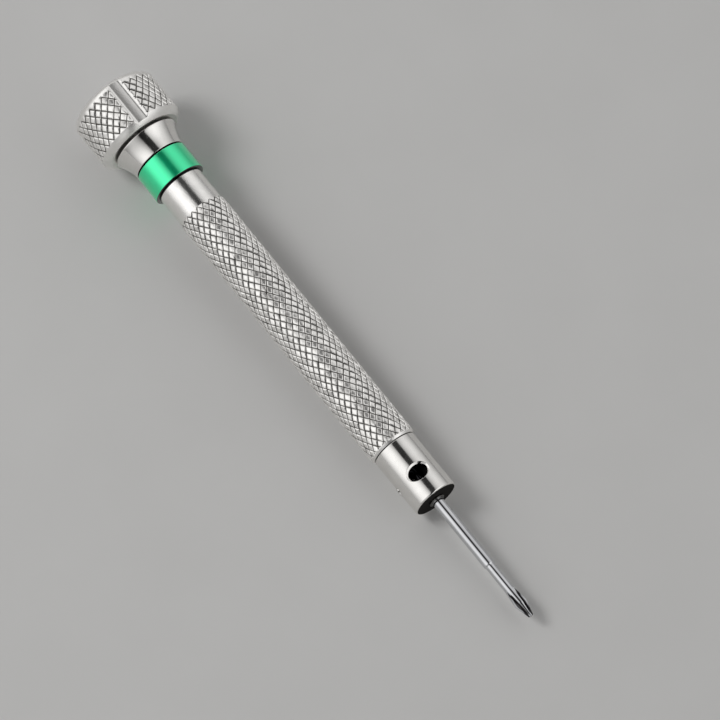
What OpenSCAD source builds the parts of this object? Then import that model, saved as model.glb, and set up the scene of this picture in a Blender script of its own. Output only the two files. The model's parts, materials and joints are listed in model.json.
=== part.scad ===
// Pocket screwdriver with a ball-bearing swivel cap, lying on a table.
// The tool's own axis runs from the cap's rear face (station 0) to the tip.
// Every sub-part is drawn on that axis, and laid() puts it down at rest:
// the cap's knurl and the nose collar's front edge both touch the table at z = 0.
// With an even number of flutes, the cap stands on the two edges of the lowest one.
// +X runs from the cap to the tip, and x = 0 is the middle of the overall length.
// Sizes are millimetres and degrees.

/* [Swivel cap] */
// Diameter over the cap's knurl
cap_d = 15.8; // [15:0.1:19]
// Length of the cap's knurled band
cap_knurl_l = 6.9; // [6.4:0.1:11]
// Length of the bowed bevel behind the knurl
cap_rear_l = 1.6; // [1:0.05:2]
// Depth of that bevel, measured towards the axis
cap_rear_h = 1.6; // [0.6:0.05:1.6]
// Sweep of that bevel's bow, in degrees
cap_rear_sweep = 40; // [10:5:60]
// Length of the bowed bevel in front of the knurl
cap_front_l = 1.2; // [0.5:0.05:1.6]
// Depth of that bevel, measured towards the axis
cap_front_h = 1.2; // [0.5:0.05:1.6]
// Sweep of that bevel's bow, in degrees
cap_front_sweep = 50; // [10:5:80]
// Number of finger flutes that also stop the cap from rolling
flute_count = 2; // [2:1:6]
// Width of a flute between its edges
flute_w = 3.1; // [2.4:0.1:3.6]
// Depth of a flute's round floor below the knurl
flute_depth = 0.45; // [0.2:0.05:0.7]
// Running gap between the cap and the flared neck
swivel_gap = 0.35; // [0.2:0.05:0.6]

/* [Cap disc] */
// Diameter of the dished disc in the cap's rear
disc_d = 11.2; // [10:0.1:11.6]
// Thickness of the disc at its edge
disc_t = 1.2; // [0.9:0.05:1.5]
// How far the disc's edge lies below the cap's rear rim
disc_recess = 0.35; // [0.1:0.05:0.6]
// Depth of the finger dish in the disc
dish_depth = 0.4; // [0.2:0.05:0.6]
// Width of the disc's flat rim around the dish
disc_rim = 0.5; // [0.3:0.05:1]

/* [Bearing] */
// Bore of the ball bearing
bearing_bore_d = 4; // [3.6:0.1:4.4]
// Outer diameter of the ball bearing
bearing_od = 10; // [9.6:0.1:10.6]
// Width of the ball bearing
bearing_w = 4; // [3.6:0.1:4.4]
// Ball diameter
ball_d = 1.6; // [1.3:0.05:1.8]
// Number of balls
ball_count = 7; // [5:1:8]
// Width of the ball cage
cage_w = 2.2; // [2:0.05:2.5]
// Thickness of the ball cage, measured towards the axis
cage_t = 0.6; // [0.4:0.05:0.7]
// Thickness of each bearing shield
shield_t = 0.2; // [0.1:0.05:0.3]
// Thickness of the spring clip that keeps the bearing in the cap
clip_t = 0.4; // [0.3:0.05:0.5]
// Width of the spring clip's band, measured towards the axis
clip_w = 0.9; // [0.7:0.05:1.1]
// Depth of the clip's groove in the cap
clip_groove = 0.35; // [0.2:0.05:0.5]
// Opening of the spring clip, in degrees
clip_open = 50; // [30:5:90]

/* [Retaining screw] */
// Thread diameter of the screw that clamps the bearing
screw_d = 2.5; // [2:0.1:2.6]
// Length of the screw under its head
screw_l = 6; // [4:0.1:7]
// Diameter of the screw's head
screw_head_d = 4.4; // [3.8:0.1:5]
// Height of the screw's head
screw_head_h = 1.3; // [1:0.05:1.5]
// Width of the screw's slot
screw_slot_w = 0.6; // [0.4:0.05:0.8]
// Depth of the screw's slot
screw_slot_h = 0.6; // [0.4:0.05:0.7]
// Diameter of the washer under the head
washer_d = 5.6; // [5.2:0.1:5.8]
// Thickness of the washer
washer_t = 0.5; // [0.3:0.05:0.6]
// Clear length behind the screw's head, under the disc
pocket_clear = 0.6; // [0.3:0.05:1]

/* [Flared neck] */
// Length of the flared neck that shows
flare_l = 4; // [3.6:0.1:6]
// Diameter of the flared neck beside the cap
flare_rear_d = 12.2; // [11.8:0.1:13.4]
// Diameter of the flared neck beside the colour ring
flare_front_d = 9.5; // [9:0.1:10.4]
// Sweep of the flare's hollow curve, in degrees
flare_sweep = 22; // [5:1:30]
// Diameter of the boss that presses on the bearing's inner ring
boss_d = 5.8; // [5.4:0.1:5.9]

/* [Colour ring] */
// Diameter of the colour ring
ring_d = 9.6; // [9:0.1:10.4]
// Length of the colour ring
ring_l = 5.2; // [4:0.1:8]
// Diameter of the stem that carries the ring
stem_d = 6; // [5.4:0.1:6.6]
// Width of the shadow groove at each end of the ring
groove_w = 0.3; // [0.15:0.01:0.4]
// Depth of those grooves below the ring
groove_h = 0.6; // [0.3:0.05:0.8]

/* [Handle barrel] */
// Diameter over the barrel's knurl
barrel_d = 8.7; // [8.3:0.1:8.9]
// Length of the knurled barrel with its two end bevels
barrel_l = 52.4; // [40:0.1:70]
// Length of each end bevel of the knurl
barrel_bevel_l = 0.6; // [0.3:0.05:1]
// Depth of each end bevel of the knurl
barrel_bevel_h = 0.35; // [0.2:0.05:0.5]
// Diameter of the plain neck behind the knurl
neck_d = 8.25; // [7.8:0.05:8.5]
// Length of the plain neck
neck_l = 6; // [4:0.1:9]

/* [Nose collar] */
// Diameter of the nose collar
nose_d = 8; // [7.4:0.1:8.2]
// Length of the nose collar that shows
nose_l = 11.2; // [9:0.1:14]
// Bevel of the nose collar's front edge
nose_bevel = 0.3; // [0.15:0.05:0.5]
// Diameter of the spigot that seats in the barrel
spigot_d = 5.6; // [5:0.1:6]
// Length of the spigot
spigot_l = 6; // [4:0.1:8]
// Distance of the window and the blade screw behind the nose's front face
window_back = 4.6; // [3.8:0.1:6]
// Length of the oval window along the tool
window_l = 2.4; // [1.6:0.1:3]
// Width of the oval window across the tool
window_w = 3.5; // [2.4:0.1:4]
// Width of the bevel around the window
window_bevel = 0.34; // [0.2:0.02:0.5]
// Depth of the bevel around the window
window_bevel_h = 0.32; // [0.1:0.02:0.4]
// Turn of the window away from straight up, in degrees
window_turn = 7; // [-30:1:30]
// Diameter of the small lip around the blade
lip_d = 2.9; // [2.6:0.1:3.4]
// Length of that lip in front of the nose
lip_l = 0.35; // [0.2:0.05:0.6]

/* [Blade screw] */
// Thread diameter of the headless screw that grips the blade
grub_d = 1.6; // [1.2:0.1:1.8]
// How far the headless screw stands out of the nose collar
grub_proud = 0.2; // [0.05:0.05:0.3]
// Width of its slot
grub_slot_w = 0.35; // [0.2:0.05:0.4]
// Depth of its slot
grub_slot_h = 0.5; // [0.3:0.05:0.7]

/* [Blade] */
// Shank diameter of the blade
blade_d = 2; // [1.6:0.05:2.2]
// Length of the blade inside the nose
blade_in_l = 13.4; // [9:0.1:15]
// Length of the thick shank in front of the nose
shank_l = 14.2; // [10:0.1:20]
// Diameter of the thinner front shank
front_d = 1.7; // [1.4:0.05:1.7]
// Length from the step to the start of the tip's flutes
front_l = 5; // [3:0.1:9]
// Length of the step between the two shanks
step_l = 0.25; // [0.1:0.05:0.5]
// Length of the part of the tip that widens
swell_l = 3.1; // [2:0.1:4]
// Diameter over the tip's four wings
wing_d = 2.25; // [1.8:0.05:2.3]
// Length of the tip's taper
taper_l = 2.7; // [2:0.1:3.5]
// Diameter of the tip's blunt end
point_d = 0.85; // [0.6:0.05:1]
// Diameter of the core left between the flutes at the end
core_d = 0.4; // [0.3:0.05:0.5]
// Angle between the two walls of each flute
tip_flute_angle = 80; // [70:5:100]
// Length of the four flutes, back from the blunt end
tip_flute_l = 5.5; // [4:0.1:6]
// Depth of the flat on the shank under the blade screw
flat_h = 0.25; // [0.15:0.05:0.35]

/* [Hidden] */
// Clearance of pieces that seat in each other and stay there
seat_gap = 0.02;
// Clearance around balls, the blade and other pieces that run in each other
run_gap = 0.03;
// Clearance around pieces that pass each other without a fit
free_gap = 0.15;
// Clearance beyond the ends of blind holes
end_gap = 0.3;
// Edge break of turned corners
edge = 0.15;
// Overrun of every cut past the face that it leaves
over = 1;
// Full turn
turn = 360;
// Segments of a drawn circle
$fn = 96;
// Steps of the drawn curves in an outline
curve_steps = 8;
// Angle step of the oval window's outline
oval_step = 10;
// Wings of the cross tip
wing_count = 4;

cap_r = cap_d / 2;
cap_l = cap_rear_l + cap_knurl_l + cap_front_l;
disc_r = disc_d / 2;
disc_end = disc_recess + disc_t;
dish_r = disc_r - disc_rim;
dish_ball_r = (dish_r * dish_r + dish_depth * dish_depth) / (2 * dish_depth);

// The pocket behind the bearing holds the screw's head and the washer
pocket_l = pocket_clear + screw_head_h + washer_t;
bearing_x = disc_end + pocket_l;
bearing_end = bearing_x + bearing_w;
bearing_mid = bearing_x + bearing_w / 2;
bore_r = bearing_bore_d / 2;
bearing_r = bearing_od / 2;
pitch_r = (bore_r + bearing_r) / 2;
ball_r = ball_d / 2;
// The race lands lie at this share of a ball's radius from the pitch circle
land_share = 0.625;
inner_land_r = pitch_r - land_share * ball_r;
outer_land_r = pitch_r + land_share * ball_r;
// The pocket's wall leaves the bearing's inner ring free
pocket_r = outer_land_r - free_gap;
// The shields sit in steps of the outer ring
shield_r = outer_land_r + shield_t;
shield_inset = shield_t / 2;

neck_x = cap_l + swivel_gap;
flare_rear_r = flare_rear_d / 2;
flare_front_r = flare_front_d / 2;
boss_r = boss_d / 2;
flare_end = neck_x + flare_l;
ring_x = flare_end + groove_w;
ring_r = ring_d / 2;
groove_r = ring_r - groove_h;
stem_r = stem_d / 2;
// The stem's thick part ends this far inside the flared neck
stem_in = flare_l / 2;
stem_end_x = bearing_x + end_gap;
stem_step_x = flare_end - stem_in;
screw_x = bearing_x - washer_t;
tap_end_x = screw_x + screw_l + end_gap;

shoulder_x = ring_x + ring_l;
neck_r = neck_d / 2;
knurl_x = shoulder_x + groove_w + neck_l;
barrel_r = barrel_d / 2;
barrel_end = knurl_x + barrel_l;
nose_x = barrel_end;
nose_r = nose_d / 2;
nose_end = nose_x + nose_l;
spigot_r = spigot_d / 2;
spigot_x = nose_x - spigot_l;
window_x = nose_end - window_back;
// The blade screw lies a quarter turn round the nose from the window
grub_turn = window_turn + turn / 4;

blade_r = blade_d / 2;
blade_x = nose_end - blade_in_l;
step_x = nose_end + shank_l;
front_r = front_d / 2;
swell_x = step_x + step_l + front_l;
wing_x = swell_x + swell_l;
tip_x = wing_x + taper_l;
wing_r = wing_d / 2;
point_r = point_d / 2;
core_r = core_d / 2;
flat_end = window_x + grub_d;
grub_r = grub_d / 2;
grub_in = blade_r - flat_h + run_gap;
grub_out = nose_r + grub_proud;

// The edges of a flute lie this far from the tool's axis, measured towards its middle
flute_edge_r = sqrt(cap_r * cap_r - flute_w * flute_w / 4);
cap_foot_r = flute_count % 2 == 0 ? flute_edge_r : cap_r;
// The cap's knurl ends here, and its front edge and the nose's front edge touch the table
touch_cap_x = cap_rear_l + cap_knurl_l;
touch_nose_x = nose_end - nose_bevel;
rest_tilt = asin((cap_foot_r - nose_r) / (touch_nose_x - touch_cap_x));
rest_height = nose_r * cos(rest_tilt) + touch_nose_x * sin(rest_tilt);
rear_reach = -(cap_r - cap_rear_h) * sin(rest_tilt);
front_reach = tip_x * cos(rest_tilt) + point_r * sin(rest_tilt);
rest_shift = -(rear_reach + front_reach) / 2;

BALLS = [for (i = [1:ball_count]) str("bearing_ball_", i)];

// Lays the tool's own axis down at rest on the table
module laid() {
    translate([rest_shift, 0, rest_height]) rotate([0, rest_tilt, 0]) children();
}

// Turns an outline of [radius, station] points about the tool's axis
module turned(outline) {
    rotate([0, turn / 4, 0]) rotate_extrude() polygon(outline);
}

// A solid rod of radius r between two stations
module rod(r, from, to) {
    translate([from, 0, 0]) rotate([0, turn / 4, 0]) cylinder(h = to - from, r = r);
}

// A plain ring between two radii and two stations
module band(inner, outer, from, to) {
    difference() {
        rod(outer, from, to);
        rod(inner, from - over, to + over);
    }
}

// Turns children that point straight up to an angle round the tool's axis
module round_at(angle) {
    rotate([angle, 0, 0]) children();
}

// The largest sweep of a bow that stays between the two ends of its slope
function bow_limit(from, to) =
    let (run = abs(to[1] - from[1]), rise = abs(to[0] - from[0]))
    2 * atan(min(run / rise, rise / run));

// Arc between two outline points, bowed outwards where side is 1 and hollow where it is -1
function bowed(from, to, sweep, side) =
    let (
        chord = to - from,
        along = chord / norm(chord),
        out = side * [along[1], -along[0]],
        half = min(sweep, bow_limit(from, to)) / 2,
        bow_r = norm(chord) / 2 / sin(half)
    )
    [
        for (i = [0:curve_steps])
        let (a = half * (2 * i / curve_steps - 1))
        (from + to) / 2 + along * bow_r * sin(a) + out * bow_r * (cos(a) - cos(half))
    ];

// Dish in the disc's face, from its middle to its rim
dish_sweep = asin(dish_r / dish_ball_r);
function dish_curve() = [
    for (i = [0:curve_steps])
    let (a = dish_sweep * i / curve_steps)
    [
        dish_ball_r * sin(a),
        disc_recess + dish_depth - dish_ball_r * (1 - cos(a))
    ]
];

// Cutter of the flute that points straight up: sloping walls down to a round floor
module flute_cutter() {
    reach = flute_w / 2 + over;
    difference() {
        translate([-over, 0, 0])
            rotate([turn / 4, 0, turn / 4])
                linear_extrude(cap_l + 2 * over)
                    polygon([
                        [0, flute_edge_r - flute_w / 2],
                        [reach, flute_edge_r + over], [-reach, flute_edge_r + over]
                    ]);
        rod(cap_r - flute_depth, -2 * over, cap_l + 2 * over);
    }
}

module swivel_cap() {
    color("silver") laid() difference() {
        turned(concat(
            [[0, 0]],
            bowed([cap_r - cap_rear_h, 0], [cap_r, cap_rear_l], cap_rear_sweep, 1),
            bowed([cap_r, touch_cap_x], [cap_r - cap_front_h, cap_l], cap_front_sweep, 1),
            [[0, cap_l]]
        ));
        rod(disc_r + seat_gap, -over, disc_end);
        rod(pocket_r, disc_end - over, bearing_x + over);
        rod(bearing_r + seat_gap, bearing_x, cap_l + over);
        rod(bearing_r + clip_groove, bearing_end, bearing_end + clip_t + seat_gap);
        for (i = [0:flute_count - 1]) round_at(i * turn / flute_count) flute_cutter();
    }
}

module cap_disc() {
    color("silver") laid() turned(concat(
        dish_curve(),
        [
            [disc_r - edge, disc_recess], [disc_r, disc_recess + edge],
            [disc_r, disc_end], [0, disc_end]
        ]
    ));
}

module bearing_clip() {
    clip_r = bearing_r + clip_groove - seat_gap;
    cut_r = clip_r + over;
    reach = cut_r * tan(clip_open / 2);
    color("dimgray") laid() difference() {
        band(clip_r - clip_w, clip_r, bearing_end, bearing_end + clip_t);
        round_at(turn / 2)
            translate([bearing_end - over, 0, 0])
                rotate([turn / 4, 0, turn / 4])
                    linear_extrude(clip_t + 2 * over)
                        polygon([[0, 0], [-reach, cut_r], [reach, cut_r]]);
    }
}

// Groove in which the balls roll
module ball_groove() {
    rotate([0, turn / 4, 0])
        rotate_extrude()
            translate([pitch_r, bearing_mid])
                circle(r = ball_r + run_gap);
}

module bearing_outer_ring() {
    color("gainsboro") laid() difference() {
        band(outer_land_r, bearing_r, bearing_x, bearing_end);
        ball_groove();
        rod(shield_r + seat_gap, bearing_x - over, bearing_x + shield_inset + shield_t);
        rod(shield_r + seat_gap, bearing_end - shield_inset - shield_t, bearing_end + over);
    }
}

// One thin shield of the bearing, from a station forwards
module shield(from) {
    band(inner_land_r + free_gap, shield_r, from, from + shield_t);
}

module bearing_shield_rear() {
    color("lightgray") laid() shield(bearing_x + shield_inset);
}

module bearing_shield_front() {
    color("lightgray") laid() shield(bearing_end - shield_inset - shield_t);
}

// Puts children at one ball's place
module at_ball(i) {
    round_at((i - 1) * turn / ball_count)
        translate([bearing_mid, 0, pitch_r])
            children();
}

module bearing_cage() {
    color("peru") laid() difference() {
        band(pitch_r - cage_t / 2, pitch_r + cage_t / 2,
            bearing_mid - cage_w / 2, bearing_mid + cage_w / 2);
        for (i = [1:ball_count]) at_ball(i) sphere(r = ball_r + run_gap);
    }
}

module bearing_ball(i) {
    color("white") laid() at_ball(i) sphere(r = ball_r);
}

module bearing_inner_ring() {
    color("gainsboro") laid() difference() {
        band(bore_r, inner_land_r, bearing_x, bearing_end);
        ball_groove();
    }
}

module bearing_washer() {
    color("gray") laid() band(screw_d / 2 + free_gap, washer_d / 2, screw_x, bearing_x);
}

module bearing_screw() {
    head_r = screw_head_d / 2;
    head_x = screw_x - screw_head_h;
    color("dimgray") laid() difference() {
        union() {
            turned([
                [0, head_x], [head_r - edge, head_x], [head_r, head_x + edge],
                [head_r, screw_x], [0, screw_x]
            ]);
            rod(screw_d / 2, screw_x, screw_x + screw_l);
        }
        translate([head_x - over, -head_r - over, -screw_slot_w / 2])
            cube([screw_slot_h + over, screw_head_d + 2 * over, screw_slot_w]);
    }
}

module flared_neck() {
    color("silver") laid() difference() {
        union() {
            turned(concat(
                [[0, neck_x]],
                bowed([flare_rear_r, neck_x], [flare_front_r, flare_end - edge], flare_sweep, -1),
                [
                    [flare_front_r - edge, flare_end],
                    [groove_r, flare_end], [groove_r, ring_x], [0, ring_x]
                ]
            ));
            rod(boss_r, bearing_end, neck_x + edge);
        }
        rod(bore_r + seat_gap, bearing_end - over, ring_x + over);
        rod(stem_r + seat_gap, stem_step_x - end_gap, ring_x + over);
    }
}

module colour_ring() {
    color("seagreen") laid() difference() {
        turned([
            [0, ring_x], [ring_r - edge, ring_x], [ring_r, ring_x + edge],
            [ring_r, shoulder_x - edge], [ring_r - edge, shoulder_x], [0, shoulder_x]
        ]);
        rod(stem_r + seat_gap, ring_x - over, shoulder_x + over);
    }
}

module handle_barrel() {
    neck_start = shoulder_x + groove_w;
    low_r = barrel_r - barrel_bevel_h;
    color("silver") laid() difference() {
        turned([
            [0, stem_end_x], [bore_r, stem_end_x], [bore_r, stem_step_x],
            [stem_r, stem_step_x], [stem_r, shoulder_x],
            [groove_r, shoulder_x], [groove_r, neck_start],
            [neck_r - edge, neck_start], [neck_r, neck_start + edge],
            [neck_r, knurl_x], [max(low_r, neck_r), knurl_x],
            [barrel_r, knurl_x + barrel_bevel_l], [barrel_r, barrel_end - barrel_bevel_l],
            [low_r, barrel_end], [0, barrel_end]
        ]);
        rod(screw_d / 2 + seat_gap, stem_end_x - over, tap_end_x);
        rod(spigot_r + seat_gap, spigot_x - end_gap, barrel_end + over);
    }
}

// An oval prism that points straight up from the tool's axis, grown all round by more
module oval(more) {
    linear_extrude(nose_d)
        polygon([
            for (a = [0:oval_step:turn - oval_step])
            [(window_l / 2 + more) * cos(a), (window_w / 2 + more) * sin(a)]
        ]);
}

module nose_collar() {
    color("silver") laid() difference() {
        union() {
            turned([
                [0, nose_x], [nose_r - edge, nose_x], [nose_r, nose_x + edge],
                [nose_r, nose_end - nose_bevel], [nose_r - nose_bevel, nose_end],
                [0, nose_end]
            ]);
            rod(spigot_r, spigot_x, nose_x + edge);
            rod(lip_d / 2, nose_end - edge, nose_end + lip_l);
        }
        rod(blade_r + run_gap, blade_x - run_gap, nose_end + lip_l + over);
        round_at(window_turn) translate([window_x, 0, 0]) {
            oval(0);
            difference() {
                oval(window_bevel);
                translate([-window_x, 0, 0])
                    rod(nose_r - window_bevel_h, nose_x - over, nose_end + over);
            }
        }
        round_at(grub_turn)
            translate([window_x, 0, 0])
                cylinder(h = nose_d, r = grub_r + run_gap);
    }
}

module blade_screw() {
    color("dimgray") laid() round_at(grub_turn) translate([window_x, 0, 0]) difference() {
        translate([0, 0, grub_in]) cylinder(h = grub_out - grub_in, r = grub_r);
        translate([-grub_r - over, -grub_slot_w / 2, grub_out - grub_slot_h])
            cube([grub_d + 2 * over, grub_slot_w, grub_slot_h + over]);
    }
}

// A grinding wheel with a sharp rim that leaves one flute of the tip
wheel_depth = front_r - core_r;
wheel_r = (tip_flute_l * tip_flute_l + wheel_depth * wheel_depth) / (2 * wheel_depth);
module flute_wheel() {
    spread = wing_d * tan(tip_flute_angle / 2);
    translate([tip_x, 0, core_r + wheel_r])
        rotate([turn / 4, 0, 0])
            rotate_extrude()
                polygon([[wheel_r - wing_d, -spread], [wheel_r, 0], [wheel_r - wing_d, spread]]);
}

module blade() {
    color("slategray") laid() difference() {
        turned([
            [0, blade_x], [blade_r - edge, blade_x], [blade_r, blade_x + edge],
            [blade_r, step_x], [front_r, step_x + step_l], [front_r, swell_x],
            [wing_r, wing_x], [point_r, tip_x], [0, tip_x]
        ]);
        round_at(grub_turn)
            translate([blade_x - over, -blade_r, blade_r - flat_h])
                cube([flat_end - blade_x + over, blade_d, blade_d]);
        for (i = [0:wing_count - 1]) {
            round_at(window_turn + (i + 1 / 2) * turn / wing_count) flute_wheel();
        }
    }
}

swivel_cap();
cap_disc();
bearing_clip();
bearing_outer_ring();
bearing_shield_rear();
bearing_shield_front();
bearing_cage();
for (i = [1:ball_count]) bearing_ball(i);
bearing_inner_ring();
bearing_washer();
bearing_screw();
flared_neck();
colour_ring();
handle_barrel();
nose_collar();
blade_screw();
blade();
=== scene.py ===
# Looks of a pocket screwdriver with a knurled handle, a green ring and a swivel cap.
# The visible pieces are modelled in the tool's own space, in metres: X runs along the tool's
# axis from the cap's rear face, Y is sideways and Z points up from the table, across the axis.
# TOOL carries that space to the frame. Angles round the axis start at +Z and grow towards -Y.
import json
from math import asin, ceil, cos, hypot, pi, radians, sin, sqrt, tan

import bmesh
import bpy
from mathutils import Matrix, Vector


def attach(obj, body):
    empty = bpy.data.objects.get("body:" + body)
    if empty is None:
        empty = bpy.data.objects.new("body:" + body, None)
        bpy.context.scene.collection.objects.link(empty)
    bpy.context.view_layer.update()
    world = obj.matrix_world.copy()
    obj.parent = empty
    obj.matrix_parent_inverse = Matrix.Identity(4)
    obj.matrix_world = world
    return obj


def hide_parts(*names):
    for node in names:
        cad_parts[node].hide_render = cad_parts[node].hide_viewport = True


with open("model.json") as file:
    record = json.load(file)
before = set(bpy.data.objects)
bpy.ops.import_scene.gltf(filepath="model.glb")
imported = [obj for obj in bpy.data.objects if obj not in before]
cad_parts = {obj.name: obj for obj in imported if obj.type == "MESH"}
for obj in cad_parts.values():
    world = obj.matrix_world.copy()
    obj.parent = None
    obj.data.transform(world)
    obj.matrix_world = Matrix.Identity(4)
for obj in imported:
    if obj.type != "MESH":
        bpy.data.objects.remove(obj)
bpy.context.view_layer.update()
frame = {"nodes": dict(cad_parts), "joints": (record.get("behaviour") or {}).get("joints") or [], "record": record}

MM = 0.001
TURN = 2 * pi
# Least number that counts as more than 0, and the distance in metres at which vertices merge
TINY = 1e-9
WELD = 2e-7

# Swivel cap, in millimetres
CAP_REAR_L = 1.6
CAP_REAR_H = 1.6
CAP_REAR_SWEEP = 70
CAP_FRONT_L = 1.2
CAP_FRONT_H = 1.2
CAP_FRONT_SWEEP = 27
FLUTE_COUNT = 2
FLUTE_W = 3.1
FLUTE_DEPTH = 0.45
FLUTE_SLOPE = 62
FLUTE_FILLET = 0.08
DISC_D = 11.2
DISC_T = 1.2
DISC_RECESS = 0.35
DISH_DEPTH = 0.4
DISC_RIM = 0.5
BEARING_OD = 10.0
BEARING_BORE_D = 4.0
POCKET_R = 3.85

# Flared neck, colour ring and barrel, in millimetres
SWIVEL_GAP = 0.35
FLARE_ROUND = 0.12
FLARE_FRONT_D = 9.5
FLARE_SWEEP = 22
BOSS_D = 5.8
STEM_D = 6.0
GROOVE_W = 0.3
GROOVE_H = 0.6
NECK_D = 8.25
NECK_L = 6.0
BARREL_BEVEL_L = 0.6
BARREL_BEVEL_H = 0.35
BARREL_LEAD = 0.02
SPIGOT_D = 5.6

# Nose collar, in millimetres and degrees
NOSE_L = 11.2
SEAM_W = 0.14
SEAM_H = 0.3
SEAM_ROUND = 0.12
NOSE_BEVEL = 0.3
WINDOW_BACK = 4.6
WINDOW_L = 2.4
WINDOW_W = 3.5
WINDOW_BEVEL = 0.34
WINDOW_BEVEL_H = 0.32
WINDOW_FOOT_ROUND = 0.05
WINDOW_RISE = 0.04
WINDOW_TURN = 7
LIP_D = 2.9
LIP_L = 0.35
GRUB_D = 1.6
GRUB_PROUD = 0.2
GRUB_SLOT_W = 0.35
GRUB_SLOT_H = 0.5
GRUB_PITCH = 0.35
GRUB_THREAD_H = 0.14
GRUB_THREAD_SHARE = 0.8
GRUB_ROUND = 0.3
GRUB_HOLE_START = 0.2

# Blade, in millimetres
BLADE_D = 2.0
SHANK_L = 14.2
FRONT_D = 1.7
FRONT_L = 5.0
STEP_L = 0.25
SWELL_L = 3.1
WING_D = 2.25
POINT_D = 0.85
CORE_D = 0.4
TIP_FLUTES = 4
TIP_FLUTE_L = 5.5
TIP_WALL_SLOPE = 30
TIP_WALL_BEND = 1.22
FLAT_H = 0.25
TAIL_ROUND = 0.15
STEP_ROUND = 0.03
FRONT_ROUND = 0.04
SWELL_ROUND = 1.5
WING_ROUND = 0.8

# Clearances, edges and the overrun of a cutter, in millimetres
SEAT_GAP = 0.02
RUN_GAP = 0.03
END_GAP = 0.3
EDGE = 0.12
SOFT_EDGE = 0.1
FINE_EDGE = 0.08
CHAMFER = 0.06
OVER = 1.0

# Slack when a radius in millimetres or an angle in radians is compared
BORE_MARGIN = 0.01
RADIUS_SLACK = 0.002
ANGLE_SLACK = 1e-6

# Columns round the pieces, and steps along their curves
RING_COLUMNS = 160
NOSE_COLUMNS = 144
DISC_COLUMNS = 128
WINDOW_COLUMNS = 96
POST_COLUMNS = 64
BORE_COLUMNS = 48
SCREW_COLUMNS = 48
SCREW_STEPS = 8
TIP_COLUMNS = 8
HALVINGS = 30
FILLET_STEPS = 5
FILLET_SHARE = 0.49
BLADE_FILLET_STEPS = 6
BEVEL_STEPS = 12
BELL_STEPS = 24
DISH_STEPS = 24

# Longest stretch of an outline without a row, in millimetres, and the share that it may exceed
STRETCH_SLACK = 0.001
BARREL_STRETCH = 1.2
CAP_STRETCH = 0.6
NOSE_STRETCH = 0.35
BLADE_STRETCH = 0.12

# Edges that bend more than this many degrees are sharp
SHARP = 30
KNURL_SHARP = 26
NORMAL_WEIGHT = 80

# Knurls: diamonds round the body and along it, grid steps in each, and the shape of a groove
BARREL_STARTS = 21
BARREL_DIAMONDS = 30
BARREL_STEPS = 10
CAP_STARTS = 32
CAP_DIAMONDS = 4
CAP_STEPS = 10
KNURL_DEPTH = 0.22
GROOVE_SHARE = 0.2
CROWN_SHARE = 0.12
TILT_SHARE = 0.6
PAD_SINK = 0.5
# Factors along and around the knurl, and a scale, that give each pad two tilts of its own
PAD_TILTS = ((12.9898, 78.233, 43758.5453), (39.3461, 11.135, 24634.6345))

# Camera, as the photograph was taken: degrees, metres and pixels of a 720 pixel picture
CAMERA_AZIMUTH = 52.85
CAMERA_ELEVATION = 65.13
CAMERA_DISTANCE = 0.9686
FOCAL_PIXELS = 5858
ORIGIN_X_PIXEL = 316.65
ORIGIN_Y_PIXEL = 366.62
PICTURE_PIXELS = 720
SENSOR_MM = 36
CLIP_START = 0.05
CLIP_END = 20

# Floor, in metres
FLOOR_REACH = 3
FLOOR_CELLS = 4
FLOOR_Z = -0.00001


def axis_matrix():
    """The tool's own space as a matrix, from the swivel joint and the mounts in the record."""
    swivel = next(j for j in frame["joints"] if j["name"] == "cap_swivel")
    mounts = {m["name"]: m for m in frame["record"]["mounts"]}
    along = Vector(swivel["axis"]).normalized()
    side = Vector((0, 1, 0))
    up = along.cross(side)
    middle = Vector(swivel["pos_m"])
    rear = Vector(mounts["cap_rim_rest"]["pos_m"])
    zero = middle + along * (rear - middle).dot(along)
    matrix = Matrix((along, side, up)).transposed().to_4x4()
    matrix.translation = zero
    return matrix


TOOL = axis_matrix()
TO_TOOL = TOOL.inverted()


def span(node):
    """First and last station and the largest radius of a CAD node, in millimetres."""
    points = [TO_TOOL @ v.co / MM for v in frame["nodes"][node].data.vertices]
    stations = [p.x for p in points]
    return min(stations), max(stations), max(hypot(p.y, p.z) for p in points)


CAP_START, CAP_END, CAP_R = span("swivel_cap")
RING_START, RING_END, RING_R = span("colour_ring")
BARREL_START, BARREL_END, BARREL_R = span("handle_barrel")
SPIGOT_START, _, NOSE_R = span("nose_collar")
BLADE_START, TIP_END, _ = span("blade")
_, _, FLARE_R = span("flared_neck")
BEARING_START, BEARING_END, _ = span("bearing_inner_ring")

NECK_START = CAP_END + SWIVEL_GAP
KNURL_START = RING_END + GROOVE_W + NECK_L
NOSE_START = BARREL_END
NOSE_END = NOSE_START + NOSE_L
WINDOW_X = NOSE_END - WINDOW_BACK
GRUB_TURN = WINDOW_TURN + 90
STEP_X = NOSE_END + SHANK_L
SWELL_X = STEP_X + STEP_L + FRONT_L
WING_X = SWELL_X + SWELL_L


# Light of the studio dome by the angle from the zenith, in degrees, positive towards -Y
DOME_TOP = 1.3
DOME = [
    (-90, 0.25), (-80, 0.42), (-70, 0.58), (-58, 0.74), (-45, 0.84), (-35, 0.80), (-25, 0.66),
    (-15, 0.42), (-12, 0.03), (12, 0.03), (15, 0.45), (22, 0.74), (30, 1.00), (40, 1.16),
    (50, 1.20), (62, 1.14), (72, 0.96), (82, 0.70), (90, 0.45)
]
# The -Y bank fades and the +Y bank brightens towards +X
DOME_FADE = 0.5
DOME_RISE = 0.35
# Towards -X the gap between the banks closes, and towards +X it narrows to this half-width
GAP_REAR = -0.52
GAP_FRONT = 0.84
GAP_FRONT_HALF = 0.11
GAP_LEVEL = 0.8
# The gap is not quite level with the tool: it yaws by this slope about the point overhead
GAP_YAW = 0.142
GAP_PIVOT = 0.258
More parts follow.
